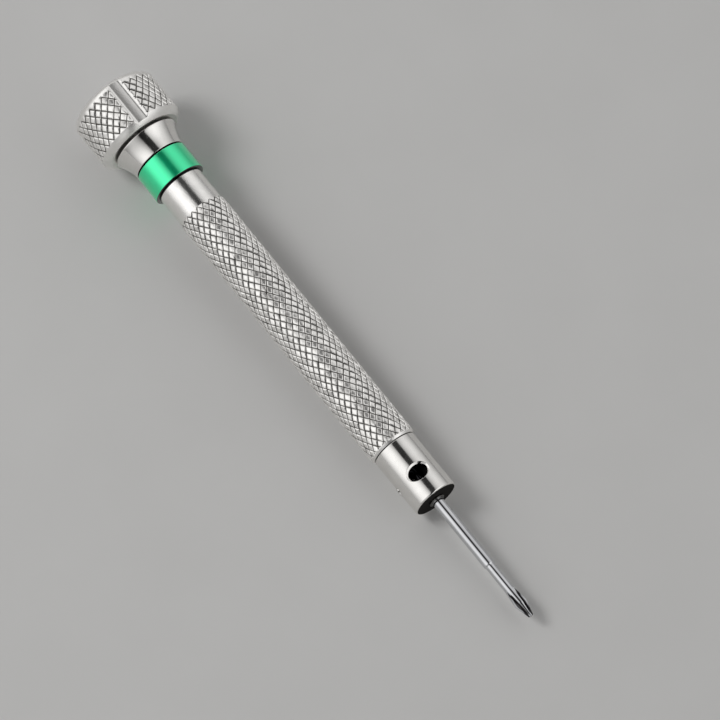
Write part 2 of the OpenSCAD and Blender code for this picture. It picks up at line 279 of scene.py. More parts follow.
# Soft edges: of the fade and the rise, between the banks, and at the gap's rear, front and sides
LEAN_REACH = 0.55
SIDE_SOFT = 0.15
REAR_SOFT = 0.08
FRONT_SOFT = 0.05
GAP_SOFT = 0.02
# Shares of the light that the narrow gap in front loses, and that falls away for dull surfaces
SLIT_LOSS = 0.95
DIFFUSE_LOSS = 0.35

# Key lamp: way to it, distance and side in metres, and brightness
KEY_WAY = (-0.45, -0.5, 0.74)
KEY_DISTANCE = 1.2
KEY_SIZE = 0.4
KEY_RADIANCE = 9.0


def clear_scene_extras():
    """Removes what a fresh Blender file holds besides the frame."""
    for name in ("Cube", "Light", "Camera"):
        found = bpy.data.objects.get(name)
        if found:
            bpy.data.objects.remove(found)


def on_axis(station, radius, angle):
    """A point at a station, radius and angle round the axis."""
    return Vector((station, -radius * sin(angle), radius * cos(angle)))


def rounded(corners, steps=FILLET_STEPS):
    """Rounds an open outline: each corner is (station, radius) or (station, radius, fillet)."""
    points = []
    for i, corner in enumerate(corners):
        here = Vector(corner[:2])
        fillet = corner[2] if len(corner) > 2 else 0
        if not fillet or i in (0, len(corners) - 1):
            points.append(tuple(here))
            continue
        before = Vector(corners[i - 1][:2]) - here
        after = Vector(corners[i + 1][:2]) - here
        half = before.angle(after) / 2
        reach = min(fillet / tan(half), before.length * FILLET_SHARE, after.length * FILLET_SHARE)
        radius = reach * tan(half)
        centre = here + (before.normalized() + after.normalized()).normalized() * radius / sin(half)
        first = here + before.normalized() * reach - centre
        last = here + after.normalized() * reach - centre
        sweep = first.angle_signed(last)
        for k in range(steps + 1):
            turned = first.copy()
            turned.rotate(Matrix.Rotation(-sweep * k / steps, 2))
            points.append(tuple(centre + turned))
    return points


def spaced(outline, longest):
    """Adds points so that no stretch of an outline is longer than that."""
    points = [outline[0]]
    for (x0, r0), (x1, r1) in zip(outline, outline[1:]):
        count = max(1, ceil(hypot(x1 - x0, r1 - r0) / longest - STRETCH_SLACK))
        for k in range(1, count + 1):
            points.append((x0 + (x1 - x0) * k / count, r0 + (r1 - r0) * k / count))
    return points


def even_angles(columns):
    """That many angles, evenly round the axis."""
    return [TURN * j / columns for j in range(columns)]


def finished(bm, name):
    """The mesh of a bmesh that is done with."""
    mesh = bpy.data.meshes.new(name)
    bm.to_mesh(mesh)
    bm.free()
    return mesh


def skin(bm, rows, split=None):
    """Faces between rows of vertices round the axis. A row of one vertex is a pole.

    Without a pole at the start, the last row is joined to the first.
    """
    closed = len(rows[0]) > 1
    pairs = list(zip(rows, rows[1:])) + ([(rows[-1], rows[0])] if closed else [])
    columns = max(len(row) for row in rows)
    for i, (low, high) in enumerate(pairs):
        for j in range(columns):
            k = (j + 1) % columns
            if len(low) == 1:
                bm.faces.new((low[0], high[k], high[j]))
                continue
            if len(high) == 1:
                bm.faces.new((low[j], low[k], high[0]))
                continue
            way = split(i, j) if split else None
            if way is None:
                bm.faces.new((low[j], low[k], high[k], high[j]))
            elif way:
                bm.faces.new((low[j], low[k], high[k]))
                bm.faces.new((low[j], high[k], high[j]))
            else:
                bm.faces.new((low[j], low[k], high[j]))
                bm.faces.new((low[k], high[k], high[j]))


def turned_mesh(name, outline, angles, radius_at=None, split=None, groove_at=None):
    """Turns an outline into a closed mesh in metres. A point of radius 0 is a pole.

    radius_at(station, radius, row, column) may sink a point towards the axis, and
    split(row, column) says which way a quad is cut in two, or None to leave it whole.
    groove_at(row, column) is kept on the mesh as "groove", which the materials read.
    """
    bm = bmesh.new()
    marks = bm.verts.layers.float.new("groove")
    rows = []
    for i, (station, radius) in enumerate(outline):
        if radius < TINY:
            rows.append([bm.verts.new((station * MM, 0, 0))])
            continue
        row = []
        for j, angle in enumerate(angles):
            r = radius_at(station, radius, i, j) if radius_at else radius
            vert = bm.verts.new(on_axis(station * MM, r * MM, angle))
            if groove_at:
                vert[marks] = groove_at(i, j)
            row.append(vert)
        rows.append(row)
    skin(bm, rows, split)
    bmesh.ops.recalc_face_normals(bm, faces=bm.faces)
    return finished(bm, name)


def crease(mesh, limit):
    """Shades a mesh smooth, but sharp at edges that bend more than limit degrees."""
    bm = bmesh.new()
    bm.from_mesh(mesh)
    for face in bm.faces:
        face.smooth = True
    for edge in bm.edges:
        if len(edge.link_faces) == 2:
            edge.smooth = edge.calc_face_angle() < radians(limit)
    bm.to_mesh(mesh)
    bm.free()


def make_piece(name, mesh, body, material, replaced, sharp=SHARP, weighted=True):
    """Puts a mesh of the tool's space into the frame, as a piece of a body and in place of a node."""
    crease(mesh, sharp)
    mesh.transform(TOOL)
    piece = bpy.data.objects.new(name, mesh)
    bpy.context.scene.collection.objects.link(piece)
    mesh.materials.clear()
    mesh.materials.append(material)
    if weighted:
        normals = piece.modifiers.new("weighted", "WEIGHTED_NORMAL")
        normals.keep_sharp = True
        normals.weight = NORMAL_WEIGHT
    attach(piece, body)
    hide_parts(replaced)


def cut(piece_mesh, cutter_mesh):
    """The first mesh less the second, by an exact boolean."""
    base = bpy.data.objects.new("cut_base", piece_mesh)
    tool = bpy.data.objects.new("cut_tool", cutter_mesh)
    for o in (base, tool):
        bpy.context.scene.collection.objects.link(o)
    modifier = base.modifiers.new("cut", "BOOLEAN")
    modifier.operation = "DIFFERENCE"
    modifier.solver = "EXACT"
    modifier.object = tool
    graph = bpy.context.evaluated_depsgraph_get()
    result = bpy.data.meshes.new_from_object(base.evaluated_get(graph))
    for o in (base, tool):
        bpy.data.objects.remove(o)
    return result


def pad_tilts(row, column, starts, steps):
    """A repeatable pair of tilts from -1 to 1 for the pad that holds a grid point."""
    first = (row + column) // steps
    second = (column - row) // steps
    along = first - second
    around = (first + second) % (2 * starts)
    return [2 * (sin(along * a + around * b) * scale % 1) - 1 for a, b, scale in PAD_TILTS]


def knurl_depth(row, column, starts, steps):
    """Depth of two crossing families of grooves at a grid point, as a share of the whole depth.

    A groove is 1 at its bottom. The pad between grooves is crowned and tilted a little,
    as a rolled knurl is.
    """
    depth = 0
    spots = []
    for phase in ((row + column) % steps, (column - row) % steps):
        away = min(phase, steps - phase) / steps
        groove = max(0, 1 - away / GROOVE_SHARE)
        crown = (1 - 2 * away) ** 2
        depth = max(depth, CROWN_SHARE * crown + (1 - CROWN_SHARE) * groove)
        spots.append(phase / steps - 0.5)
    tilts = pad_tilts(row, column, starts, steps)
    tilt = TILT_SHARE * (spots[0] * tilts[0] + spots[1] * tilts[1] + PAD_SINK)
    return max(0, depth + tilt * (1 - depth))


def knurl_split(row, column, steps):
    """Cuts a quad along the family of grooves whose next groove is nearer to it."""
    def away(phase):
        return min(phase % steps, steps - phase % steps)
    return away(column - row) < away(row + column + 1)


def edge_limit(outline):
    """Radius of an outline at a station, for outlines that run forwards."""
    def radius(station):
        for (x0, r0), (x1, r1) in zip(outline, outline[1:]):
            if x0 <= station <= x1 and x1 > x0:
                return r0 + (r1 - r0) * (station - x0) / (x1 - x0)
        return outline[-1][1] if station > outline[-1][0] else outline[0][1]
    return radius


def handle_barrel(material):
    """Stepped rear stem, plain neck and long knurl, with the hole for the nose's spigot."""
    stem_r = STEM_D / 2
    bore_r = BEARING_BORE_D / 2
    groove_r = RING_R - GROOVE_H
    neck_r = NECK_D / 2
    neck_start = RING_END + GROOVE_W
    low_r = BARREL_R - BARREL_BEVEL_H
    stem_step = NECK_START + (RING_START - GROOVE_W - NECK_START) / 2
    rear = rounded([
        (BARREL_START, 0), (BARREL_START, bore_r, SOFT_EDGE), (stem_step, bore_r),
        (stem_step, stem_r, SOFT_EDGE), (RING_END, stem_r), (RING_END, groove_r),
        (neck_start, groove_r), (neck_start, neck_r, EDGE), (KNURL_START - BARREL_LEAD, neck_r)
    ])
    rear = spaced(rear, BARREL_STRETCH)
    pitch = (BARREL_END - KNURL_START) / BARREL_DIAMONDS
    step = pitch / BARREL_STEPS
    count = BARREL_DIAMONDS * BARREL_STEPS
    limit = edge_limit([
        (KNURL_START, neck_r), (KNURL_START + BARREL_BEVEL_L, BARREL_R),
        (BARREL_END - BARREL_BEVEL_L, BARREL_R), (BARREL_END, low_r)
    ])
    knurled = [(KNURL_START + i * step, limit(KNURL_START + i * step)) for i in range(count + 1)]
    spigot_r = SPIGOT_D / 2 + SEAT_GAP
    hole_end = SPIGOT_START - END_GAP
    front = [(BARREL_END, spigot_r), (hole_end, spigot_r), (hole_end, 0)]
    first = len(rear)
    last = first + count
    outline = rear + knurled + front
    last_groove = last - round(BARREL_BEVEL_L / step)

    def groove(row, column):
        if not first <= row <= last_groove:
            return 0
        return knurl_depth(row - first, column, BARREL_STARTS, BARREL_STEPS)

    def sunk(station, radius, row, column):
        return min(radius, BARREL_R - KNURL_DEPTH * groove(row, column))

    def split(row, column):
        if not first <= row < last:
            return None
        return knurl_split(row - first, column, BARREL_STEPS)

    angles = even_angles(BARREL_STARTS * BARREL_STEPS)
    mesh = turned_mesh("handle_barrel_mesh", outline, angles, sunk, split, groove)
    make_piece("knurled_barrel", mesh, "handle", material, "handle_barrel",
               sharp=KNURL_SHARP, weighted=False)


def bowed(start, end, sweep, steps):
    """An arc between two outline points, bowed outwards, or hollow where sweep is negative."""
    chord = Vector(end) - Vector(start)
    radius = chord.length / 2 / sin(radians(sweep / 2))
    points = []
    for k in range(steps + 1):
        a = radians(sweep) * (k / steps - 0.5)
        along = 0.5 + sin(a) * radius / chord.length
        rise = radius * (cos(a) - cos(radians(sweep / 2)))
        out = Vector((-chord.y, chord.x)).normalized() * rise
        points.append(tuple(Vector(start) + chord * along + out))
    return points


def flute_half():
    """Half the angle that a flute takes from the cap's crest."""
    return asin(FLUTE_W / 2 / CAP_R)


def flute_floor(angle):
    """Radius of a flute's floor, fillet or wall at an angle from its middle."""
    half = flute_half()
    slope = tan(radians(FLUTE_SLOPE))
    apex = CAP_R * cos(half) - CAP_R * sin(half) / slope
    wall = apex / (cos(angle) - abs(sin(angle)) / slope)
    floor = CAP_R - FLUTE_DEPTH
    blend = max(0, 1 - abs(floor - wall) / FLUTE_FILLET)
    return max(floor, wall) + blend ** 2 * FLUTE_FILLET / 4


def cap_angles():
    """Angles of the cap's columns, with one exactly on each edge of each flute."""
    half = flute_half()
    columns = CAP_STARTS * CAP_STEPS
    sector = columns // FLUTE_COUNT
    inside = round(half / (TURN / columns))
    angles = []
    for j in range(columns):
        k = j % sector
        start = TURN * (j // sector) / FLUTE_COUNT
        rest = (TURN / FLUTE_COUNT - 2 * half) / (sector - 2 * inside)
        if k <= inside:
            angle = half * k / inside
        elif k < sector - inside:
            angle = half + (k - inside) * rest
        else:
            angle = TURN / FLUTE_COUNT - half * (sector - k) / inside
        angles.append(start + angle)
    return angles


def swivel_cap(material):
    """Cap with a bowed bevel at each end of its knurl, flutes across it and the bearing's seat."""
    half = flute_half()
    sector = TURN / FLUTE_COUNT
    disc_r = DISC_D / 2 + SEAT_GAP
    bearing_r = BEARING_OD / 2 + SEAT_GAP
    rear_r = CAP_R - CAP_REAR_H
    knurl_end = CAP_END - CAP_FRONT_L
    disc_end = DISC_RECESS + DISC_T
    rear_bevel = bowed((CAP_START, rear_r), (CAP_REAR_L, CAP_R), CAP_REAR_SWEEP, BEVEL_STEPS)
    front_bevel = bowed((knurl_end, CAP_R), (CAP_END, CAP_R - CAP_FRONT_H), CAP_FRONT_SWEEP, BEVEL_STEPS)
    limit = edge_limit(rear_bevel + front_bevel)
    pitch = (knurl_end - CAP_REAR_L) / CAP_DIAMONDS
    step = pitch / CAP_STEPS
    count = CAP_DIAMONDS * CAP_STEPS
    knurled = [(CAP_REAR_L + i * step, limit(CAP_REAR_L + i * step)) for i in range(count + 1)]
    rear = spaced(rounded([
        (BEARING_START, bearing_r), (BEARING_START, POCKET_R), (disc_end, POCKET_R),
        (disc_end, disc_r), (CAP_START, disc_r, FINE_EDGE), (CAP_START, rear_r, FINE_EDGE),
        *[p for p in rear_bevel[1:] if p[0] < CAP_REAR_L - step / 2]
    ]), CAP_STRETCH)
    front = [p for p in front_bevel if p[0] > knurled[-1][0] + step / 2]
    front += [(CAP_END, bearing_r + CHAMFER), (CAP_END - CHAMFER, bearing_r)]
    outline = rear + knurled + front
    first = len(rear)
    last = first + count
    angles = cap_angles()

    def depth(row, column):
        return knurl_depth(row - first, column, CAP_STARTS, CAP_STEPS)

    def sunk(station, radius, row, column):
        if radius < rear_r - BORE_MARGIN:
            return radius
        r = radius
        if first <= row <= last:
            r = min(r, CAP_R - KNURL_DEPTH * depth(row, column))
        angle = (angles[column] + sector / 2) % sector - sector / 2
        if abs(angle) < half + ANGLE_SLACK:
            r = min(r, flute_floor(angle))
        return r

    def split(row, column):
        if not first <= row < last:
            return None
        return knurl_split(row - first, column, CAP_STEPS)

    def groove(row, column):
        if not first <= row <= last:
            return 0
        station, radius = outline[row]
        knurl_r = CAP_R - KNURL_DEPTH * depth(row, column)
        r = sunk(station, radius, row, column)
        return depth(row, column) if knurl_r - RADIUS_SLACK < r < radius - RADIUS_SLACK else 0

    mesh = turned_mesh("swivel_cap_mesh", outline, angles, sunk, split, groove)
    make_piece("knurled_cap", mesh, "cap", material, "swivel_cap",
               sharp=KNURL_SHARP, weighted=False)


def cap_disc(material):
    """Dished disc that closes the cap's rear."""
    disc_r = DISC_D / 2
    dish_r = disc_r - DISC_RIM
    ball_r = (dish_r ** 2 + DISH_DEPTH ** 2) / (2 * DISH_DEPTH)
    sweep = asin(dish_r / ball_r)
    dish = [
        (DISC_RECESS + DISH_DEPTH - ball_r * (1 - cos(sweep * k / DISH_STEPS)),
         ball_r * sin(sweep * k / DISH_STEPS))
        for k in range(DISH_STEPS + 1)
    ]
    end = DISC_RECESS + DISC_T
    rim = rounded([dish[-1], (DISC_RECESS, disc_r, EDGE), (end, disc_r, FINE_EDGE), (end, 0)])
    mesh = turned_mesh("cap_disc_mesh", dish + rim[1:], even_angles(DISC_COLUMNS))
    make_piece("dished_disc", mesh, "cap", material, "cap_disc")


def flared_neck(material):
    """Slightly hollow bell with a boss that clamps the bearing. Fillets replace its end points."""
    front_r = FLARE_FRONT_D / 2
    groove_r = RING_R - GROOVE_H
    flare_end = RING_START - GROOVE_W
    bell = bowed((NECK_START, FLARE_R), (flare_end - EDGE, front_r), -FLARE_SWEEP, BELL_STEPS)
    bore_r = BEARING_BORE_D / 2 + SEAT_GAP
    stem_r = STEM_D / 2 + SEAT_GAP
    stem_step = NECK_START + (flare_end - NECK_START) / 2 - END_GAP
    rear = rounded([
        (stem_step, bore_r), (BEARING_END, bore_r, FINE_EDGE), (BEARING_END, BOSS_D / 2, FINE_EDGE),
        (NECK_START, BOSS_D / 2), (NECK_START, FLARE_R, FLARE_ROUND), bell[3]
    ])
    front = rounded([
        bell[-2], (flare_end, front_r, EDGE), (flare_end, groove_r), (RING_START, groove_r),
        (RING_START, stem_r), (stem_step, stem_r)
    ])
    mesh = turned_mesh("flared_neck_mesh", rear + bell[4:-2] + front, even_angles(RING_COLUMNS))
    make_piece("bell_neck", mesh, "handle", material, "flared_neck")


def colour_ring(material):
    """Plain ring with rounded edges."""
    stem_r = STEM_D / 2 + SEAT_GAP
    outline = rounded([
        (RING_START, stem_r), (RING_START, RING_R, EDGE), (RING_END, RING_R, EDGE), (RING_END, stem_r)
    ])
    mesh = turned_mesh("colour_ring_mesh", outline, even_angles(RING_COLUMNS))
    make_piece("green_ring", mesh, "handle", material, "colour_ring")


def rod_mesh(name, radius, start, end, columns):
    """A plain rod along X."""
    outline = [(start, 0), (start, radius), (end, radius), (end, 0)]
    return turned_mesh(name, outline, even_angles(columns))


def window_cutter():
    """Oval well with a rounded lip that follows the collar's curve."""
    bm = bmesh.new()
    lip = rounded([
        (0.0, NOSE_R - WINDOW_BEVEL_H * 2), (0.0, NOSE_R - WINDOW_BEVEL_H, WINDOW_FOOT_ROUND),
        (WINDOW_BEVEL, NOSE_R, SOFT_EDGE), (WINDOW_BEVEL * 2, NOSE_R + WINDOW_RISE)
    ])[1:]
    levels = [(0.0, None, 0.0)] + [(more, radius, None) for more, radius in lip]
    levels.append((WINDOW_BEVEL * 2, None, NOSE_R + OVER))
    rings = []
    for more, radius, height in levels:
        ring = []
        for a in even_angles(WINDOW_COLUMNS):
            x = (WINDOW_L / 2 + more) * cos(a)
            w = (WINDOW_W / 2 + more) * sin(a)
            z = sqrt(radius ** 2 - w ** 2) if radius else height
            ring.append(bm.verts.new(((WINDOW_X + x) * MM, w * MM, z * MM)))
        rings.append(ring)
    for low, high in zip(rings, rings[1:]):
        for k in range(WINDOW_COLUMNS):
            m = (k + 1) % WINDOW_COLUMNS
            bm.faces.new((low[k], low[m], high[m], high[k]))
    bm.faces.new(rings[0])
    bm.faces.new(rings[-1])
    bmesh.ops.recalc_face_normals(bm, faces=bm.faces)
    turn = Matrix.Rotation(radians(WINDOW_TURN), 3, "X")
    bmesh.ops.rotate(bm, verts=bm.verts, cent=(0, 0, 0), matrix=turn)
    return finished(bm, "window_cutter")


def stand_up(mesh, start=0.0):
    """Points a mesh that runs along X out through the screw's hole, from that far off the axis."""
    stand = Matrix.Rotation(radians(GRUB_TURN), 4, "X") @ Matrix.Translation((WINDOW_X * MM, 0, 0))
    mesh.transform(stand @ Matrix.Rotation(-pi / 2, 4, "Y") @ Matrix.Translation((start * MM, 0, 0)))


def nose_collar(material):
    """Collar on its spigot, with a seam, a lip, the oval window and the bores of blade and screw."""
    spigot_r = SPIGOT_D / 2
    lip_r = LIP_D / 2
    lip_end = NOSE_END + LIP_L
    shell = rounded([
        (SPIGOT_START, 0), (SPIGOT_START, spigot_r, SOFT_EDGE), (NOSE_START, spigot_r),
        (NOSE_START, NOSE_R - SEAM_H), (NOSE_START + SEAM_W, NOSE_R - SEAM_H),
        (NOSE_START + SEAM_W, NOSE_R, SEAM_ROUND), (NOSE_END, NOSE_R, NOSE_BEVEL), (NOSE_END, lip_r),
        (lip_end, lip_r, FINE_EDGE), (lip_end, 0)
    ])
    mesh = turned_mesh("nose_collar_mesh", spaced(shell, NOSE_STRETCH), even_angles(NOSE_COLUMNS))
    bore_r = BLADE_D / 2 + RUN_GAP
    bore = rod_mesh("bore_cutter", bore_r, BLADE_START - RUN_GAP, lip_end + OVER, BORE_COLUMNS)
    grub = rod_mesh("grub_cutter", GRUB_D / 2 + RUN_GAP, GRUB_HOLE_START, NOSE_R + OVER, POST_COLUMNS)
    stand_up(grub)
    for cutter in (window_cutter(), bore, grub):
        mesh = cut(mesh, cutter)
    make_piece("windowed_nose", mesh, "handle", material, "nose_collar")


def screw_mesh(length):
    """A threaded headless screw along X from 0, chamfered at one end and rounded at the other."""
    step = GRUB_PITCH / SCREW_STEPS
    count = int(length / step)
    radius = GRUB_D / 2
    outline = [(0, 0)] + [(length * i / count, radius) for i in range(count + 1)] + [(length, 0)]

    def sunk(station, r, row, column):
        phase = (station / GRUB_PITCH - column / SCREW_COLUMNS) % 1
        plain = length - station < GRUB_ROUND + GRUB_PITCH
        thread = GRUB_THREAD_H * max(0, 1 - abs(phase - 0.5) * 2 / GRUB_THREAD_SHARE)
        chamfer = max(0, GRUB_THREAD_H - station)
        over = max(0, station - length + GRUB_ROUND)
        end = GRUB_ROUND - sqrt(GRUB_ROUND ** 2 - over ** 2)
        return r - max(0 if plain else thread, chamfer, end)
    return turned_mesh("blade_screw_mesh", outline, even_angles(SCREW_COLUMNS), sunk)


def box_mesh(name, size, centre):
    """A box of a size in millimetres about a centre."""
    bm = bmesh.new()
    bmesh.ops.create_cube(bm, size=1)
    bmesh.ops.scale(bm, vec=Vector(size) * MM, verts=bm.verts)
    bmesh.ops.translate(bm, vec=Vector(centre) * MM, verts=bm.verts)
    return finished(bm, name)


def blade_screw(material):
    """Headless screw with its slot, from the blade's flat to just outside the nose."""
    start = BLADE_D / 2 - FLAT_H + RUN_GAP
    length = NOSE_R + GRUB_PROUD - start
    slot = box_mesh("slot_cutter", (GRUB_SLOT_H * 2, GRUB_D * 2, GRUB_SLOT_W), (length, 0, 0))
    mesh = cut(screw_mesh(length), slot)
    stand_up(mesh, start)
    make_piece("slotted_screw", mesh, "blade_screw", material, "blade_screw")


def flute_wall(floor, angle):
    """Radius of a tip flute's hollow wall at an angle from the flute's middle."""
    rise = cos(angle) - tan(radians(TIP_WALL_SLOPE)) * sin(angle)
    bend = TIP_WALL_BEND * sin(angle) ** 2
    if bend < TINY:
        return floor
    inside = rise ** 2 - 4 * bend * floor
    return (rise - sqrt(inside)) / (2 * bend) if inside > 0 else BLADE_D


def flute_corner(floor, radius):
    """Angle from a tip flute's middle at which its wall reaches that radius."""
    if floor >= radius:
        return 0.0
    low, high = 0.0, pi / TIP_FLUTES
    for _ in range(HALVINGS):
        middle = (low + high) / 2
        if flute_wall(floor, middle) < radius:
            low = middle
        else:
            high = middle
    return low


def tip_row(station, radius):
    """Radii and angles round the blade at a station, with the floors and walls of the tip's flutes.

    The floors run out along the arc of a grinding wheel.
    """
    r1, core = FRONT_D / 2, CORE_D / 2
    deep = r1 - core
    wheel_r = (TIP_FLUTE_L ** 2 + deep ** 2) / (2 * deep)
    away = TIP_END - station
    floor = core + wheel_r - sqrt(max(0, wheel_r ** 2 - away ** 2)) if away < wheel_r else radius
    corner = flute_corner(floor, radius)
    points = []
    for flute in range(TIP_FLUTES):
        start = radians(WINDOW_TURN) + pi / TIP_FLUTES + flute * TURN / TIP_FLUTES
        for side in range(-2 * TIP_COLUMNS, 2 * TIP_COLUMNS):
            m = abs(side)
            if m <= TIP_COLUMNS:
                a = corner * m / TIP_COLUMNS
                r = min(flute_wall(floor, a), radius) if corner > 0 else radius
            else:
                a = corner + (pi / TIP_FLUTES - corner) * (m - TIP_COLUMNS) / TIP_COLUMNS
                r = radius
            points.append((r, start - a if side < 0 else start + a))
    return points


def blade(material):
    """Round shank with a step, a tip with four ground flutes, and a flat for the screw."""
    r0, r1 = BLADE_D / 2, FRONT_D / 2
    outline = spaced(rounded([
        (BLADE_START, 0), (BLADE_START, r0, TAIL_ROUND), (STEP_X, r0, STEP_ROUND),
        (STEP_X + STEP_L, r1, FRONT_ROUND), (SWELL_X, r1, SWELL_ROUND),
        (WING_X, WING_D / 2, WING_ROUND), (TIP_END, POINT_D / 2, FINE_EDGE), (TIP_END, 0)
    ], BLADE_FILLET_STEPS), BLADE_STRETCH)
    bm = bmesh.new()
    rows = []
    for station, radius in outline:
        points = tip_row(station, radius) if radius > TINY else [(0, 0)]
        rows.append([bm.verts.new(on_axis(station * MM, r * MM, a)) for r, a in points])
    skin(bm, rows)
    bmesh.ops.remove_doubles(bm, verts=bm.verts, dist=WELD)
    bmesh.ops.dissolve_degenerate(bm, edges=bm.edges, dist=WELD / 2)
    bmesh.ops.recalc_face_normals(bm, faces=bm.faces)
    mesh = finished(bm, "blade_mesh")
    flat_l = WINDOW_X + GRUB_D - BLADE_START
    flat = box_mesh("flat_cutter", (flat_l + OVER, BLADE_D * 2, BLADE_D),
                    (BLADE_START + (flat_l - OVER) / 2, 0, r0 - FLAT_H + BLADE_D / 2))
    flat.transform(Matrix.Rotation(radians(GRUB_TURN), 4, "X"))
    make_piece("cross_tip_blade", cut(mesh, flat), "blade", material, "blade")


def rgb(r, g, b):
    """An opaque colour."""
    return (r, g, b, 1.0)


# Finishes: light and dark tone, least and greatest roughness
NICKEL = rgb(0.84, 0.825, 0.80), rgb(0.79, 0.775, 0.75), 0.08, 0.14
GROUND_STEEL = rgb(0.66, 0.665, 0.68), rgb(0.58, 0.585, 0.60), 0.05, 0.09
PLATED_STEEL = rgb(0.88, 0.87, 0.85), rgb(0.80, 0.79, 0.77), 0.12, 0.2
BEARING_STEEL = rgb(0.72, 0.72, 0.73), rgb(0.60, 0.60, 0.62), 0.08, 0.16
ZINC_STEEL = rgb(0.55, 0.55, 0.56), rgb(0.42, 0.42, 0.44), 0.25, 0.4
SPRING_STEEL = rgb(0.20, 0.20, 0.22), rgb(0.12, 0.12, 0.13), 0.3, 0.45
BRASS = rgb(0.75, 0.55, 0.28), rgb(0.62, 0.44, 0.20), 0.22, 0.35
KNURLED = rgb(0.95, 0.935, 0.91), rgb(0.88, 0.865, 0.84), 0.3, 0.4
GREEN = rgb(0.0, 0.98, 0.435), rgb(0.0, 0.91, 0.385), 0.28, 0.32

# Tones. All but the floor and the backdrop are painted shade: in the grooves beside the ring, in the seam, inside
# the nose, on the nose's end face and lip, in the knurls' grooves, in the tip's flutes, on the blade's hidden tail
# and on the ring's end faces
SHADOW_TONE = rgb(0.02, 0.02, 0.02)
SEAM_SHADE_TONE = rgb(0.015, 0.015, 0.015)
INSIDE_SHADE_TONE = rgb(0.012, 0.012, 0.012)
FACE_SHADE_TONE = rgb(0.02, 0.019, 0.018)
LIP_SHADE_TONE = rgb(0.12, 0.117, 0.112)
GROOVE_SHADE_TONE = rgb(0.065, 0.061, 0.055)
FLUTE_SHADE_TONE = rgb(0.09, 0.088, 0.086)
TAIL_SHADE_TONE = rgb(0.03, 0.03, 0.033)
RING_END_SHADE_TONE = rgb(0.01, 0.02, 0.015)
FLOOR_LIGHT = rgb(0.64, 0.635, 0.625)
FLOOR_DARK = rgb(0.60, 0.595, 0.585)
BACKDROP = rgb(0.56, 0.555, 0.545)

# Noise: waves in a metre and finer layers. For lines, also a roughness and the waves on each axis
CLOUD = 420, 4
GLOSS = 900, 3
KNURL_CLOUD = 700, 4
KNURL_GRAIN = 4200, 3
GREEN_CLOUD = 520, 3
FLOOR_GRAIN = 60, 5
LATHE_WAVES = (26000, 500, 500)
LATHE_LINES = 1, 4, 0.7
GREEN_WAVES = (22000, 400, 400)
GREEN_LINES = 1, 4, 0.6

# Part of a noise's range that a tone or a roughness runs through
NARROW = 0.35, 0.65
WIDE = 0.3, 0.7

# Heights of bumps, in metres
LATHE_BUMP = 0.0000012
GREEN_BUMP = 0.0000010
KNURL_BUMP = 0.000014

# Reach of the places painted with shade, in millimetres
SHADOW_BOTTOM = 0.35
SHADOW_TOP = 0.2
SHADOW_OVER = 0.02
INSIDE_FRONT = 0.5
INSIDE_BOTTOM = 0.5
INSIDE_TOP = 0.35
FACE_MARGIN = 0.01
SEAM_REACH = 0.5
TAIL_FADE = 0.5
FLUTE_EDGE = 0.2
FLUTE_DEEP = 0.3
RING_FACE = 0.04
# The lip counts as this many times its radius, and a knurl's painted shade runs between two shares of its depth
LIP_MARGIN = 1.02
GROOVE_EDGE = 0.6
GROOVE_DEEP = 0.92

# Gloss: the nose's end face, which is painted dark, the barrel's plain neck, the green ring's coat and the floor
FACE_IOR = 1.15
FACE_ROUGH = 0.9
NECK_GLOSS = 0.12
GREEN_COAT_ROUGH = 0.16
GREEN_COAT_IOR = 1.9
FLOOR_ROUGH = 0.75


class Nodes:
    """The nodes of a material or a world, with short calls for the ones used here."""

    def __init__(self, owner):
        owner.use_nodes = True
        self.tree = owner.node_tree
        self.tree.nodes.clear()

    def add(self, kind, **settings):
        """A new node of a kind."""
        node = self.tree.nodes.new(kind)
        for key, value in settings.items():
            setattr(node, key, value)
        return node

    def put(self, target, value):
        """Links or sets an input."""
        if isinstance(value, bpy.types.NodeSocket):
            self.tree.links.new(value, target)
        else:
            target.default_value = value

    def math(self, operation, a, b=0.0, clamp=False):
        """A sum, a product or a comparison of two values."""
        node = self.add("ShaderNodeMath", operation=operation, use_clamp=clamp)
        self.put(node.inputs[0], a)
        self.put(node.inputs[1], b)
        return node.outputs[0]

    def product(self, a, b, clamp=False):
        """Two values multiplied."""
        return self.math("MULTIPLY", a, b, clamp)

    def rest(self, share):
        """What is left of 1."""
        return self.math("SUBTRACT", 1, share)

    def ramp(self, value, low, high, out_low=0.0, out_high=1.0):
        """Runs smoothly from one value to another while the input runs from low to high."""
        node = self.add("ShaderNodeMapRange", interpolation_type="SMOOTHSTEP")
        ends = {"Value": value, "From Min": low, "From Max": high, "To Min": out_low, "To Max": out_high}
        for key, number in ends.items():
            self.put(node.inputs[key], number)
        return node.outputs["Result"]

    def axes(self, vector):
        """The X, Y and Z of a vector."""
        parts = self.add("ShaderNodeSeparateXYZ")
        self.put(parts.inputs[0], vector)
        return parts.outputs


